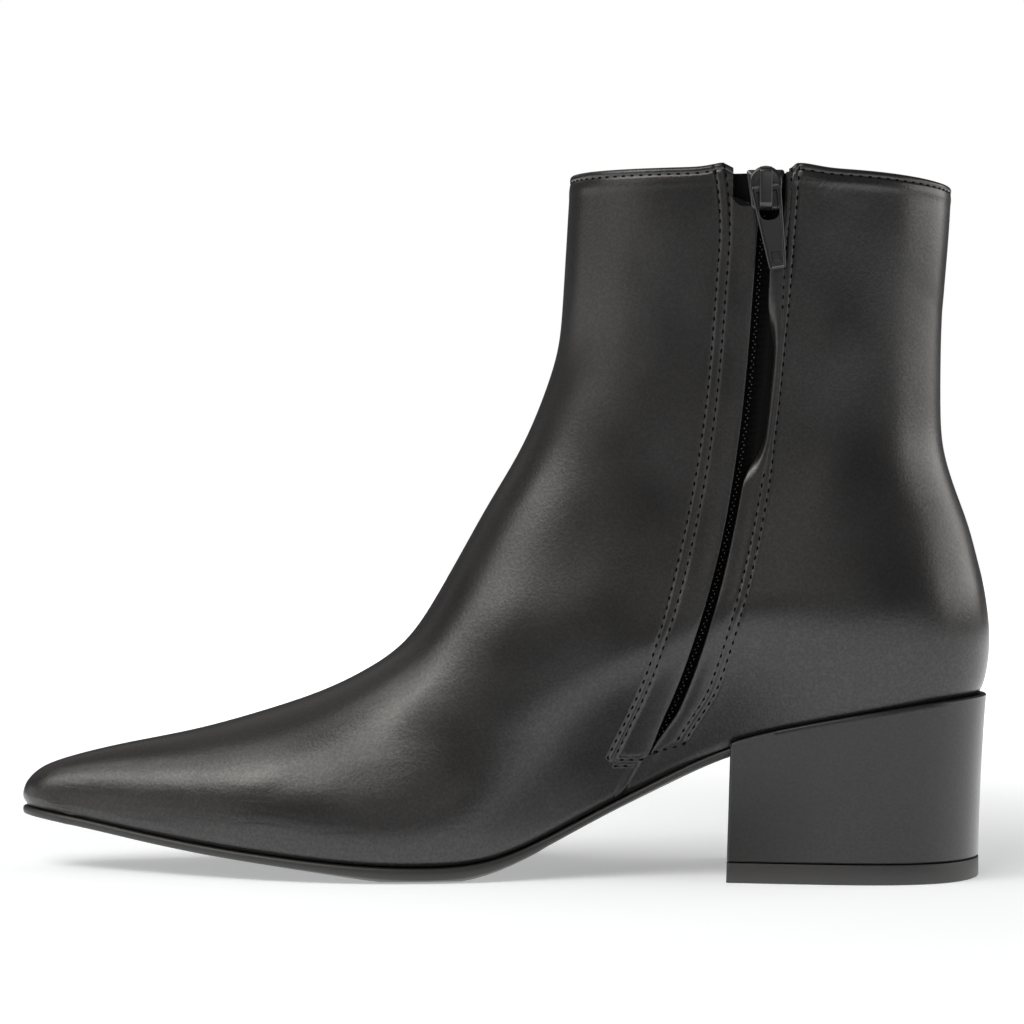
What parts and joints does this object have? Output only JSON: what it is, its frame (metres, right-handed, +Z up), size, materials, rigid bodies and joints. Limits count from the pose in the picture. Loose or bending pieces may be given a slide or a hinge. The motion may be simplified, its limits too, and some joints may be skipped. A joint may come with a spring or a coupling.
{
  "type": "heeled bootie",
  "caption": "Pointed ankle boot in smooth black calf leather with an inside zip and a covered block heel, right shoe.",
  "frame": {"origin": "on the floor, under the middle of the boot's length and width", "axes": "+X from toe to heel, +Y towards the outer side of the foot (the zip is on the -Y side), +Z up"},
  "size_m": [0.272, 0.0757, 0.1948],
  "materials": {
    "black_calf": "smooth semi-gloss",
    "black_lining": "matt",
    "black_rubber": "matt",
    "zip_cloth": "woven",
    "zip_coil": "satin",
    "black_metal": "satin black coating"
  },
  "bodies": {
    "boot": {"upper": "black_calf", "zip_front_strip": "black_calf", "zip_back_strip": "black_calf", "heel_block": "black_calf", "zip_teeth": "zip_coil", "zip_tape": "zip_cloth", "zip_slider": "black_metal", "outsole": "black_rubber", "heel_top_lift": "black_rubber", "insole": "black_lining"},
    "pull_tab": {"zip_pull_tab": "black_metal"}
  },
  "joints": [
    {"name": "pull_tab_swing", "type": "hinge", "parent": "boot", "child": "pull_tab", "pos_m": [0.07404, -0.032, 0.18813], "axis": [-0.9892, -0.0086, -0.146], "range_deg": [0, 165]}
  ]
}
